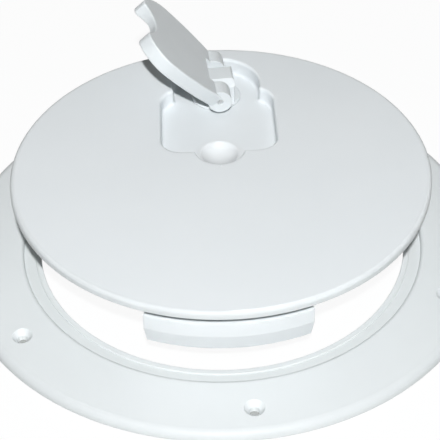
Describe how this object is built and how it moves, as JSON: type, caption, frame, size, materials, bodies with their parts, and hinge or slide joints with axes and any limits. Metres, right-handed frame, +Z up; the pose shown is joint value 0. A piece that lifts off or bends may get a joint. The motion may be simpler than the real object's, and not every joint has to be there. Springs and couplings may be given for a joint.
{
  "type": "deck inspection plate",
  "caption": "Round deck inspection plate: a screw-down ring with a lift-off lid, a front hook, and a recessed fold-out turn handle that works a latch cam.",
  "frame": {"origin": "middle of the ring's underside, on the deck", "axes": "+Z up off the deck, -Y to the front, where the lid's hook is, +X to the right seen from the front"},
  "size_m": [0.28, 0.28, 0.0986],
  "materials": {
    "ring_plastic": "smooth glossy white moulding",
    "lid_plastic": "smooth glossy white moulding",
    "handle_plastic": "smooth glossy white moulding",
    "spindle_plastic": "smooth glossy white moulding",
    "cam_plastic": "satin black glass-filled moulding",
    "washer_plastic": "plain natural nylon",
    "seal_rubber": "matte black rubber",
    "stainless_steel": "fine turned stainless steel"
  },
  "bodies": {
    "ring": {"deck_ring": "ring_plastic"},
    "lid": {"lid": "lid_plastic", "lid_gasket": "seal_rubber"},
    "turning_spindle": {"spindle": "spindle_plastic", "spindle_seal": "seal_rubber", "thrust_washer": "washer_plastic", "hinge_pin": "stainless_steel", "latch_cam": "cam_plastic", "cam_washer": "stainless_steel", "cam_screw": "stainless_steel"},
    "handle": {"handle": "handle_plastic"}
  },
  "joints": [
    {"name": "lid_lift", "type": "slide", "parent": "ring", "child": "lid", "axis": [0, 0, 1], "range_m": [-0.0197, 0.06]},
    {"name": "handle_turn", "type": "hinge", "parent": "lid", "child": "turning_spindle", "pos_m": [0, 0.074, 0.0526], "axis": [0, 0, 1], "range_deg": [-5, 85]},
    {"name": "handle_fold", "type": "hinge", "parent": "turning_spindle", "child": "handle", "pos_m": [0, 0.074, 0.0542], "axis": [-0.0872, 0.9962, 0], "range_deg": [-25, 50]}
  ]
}
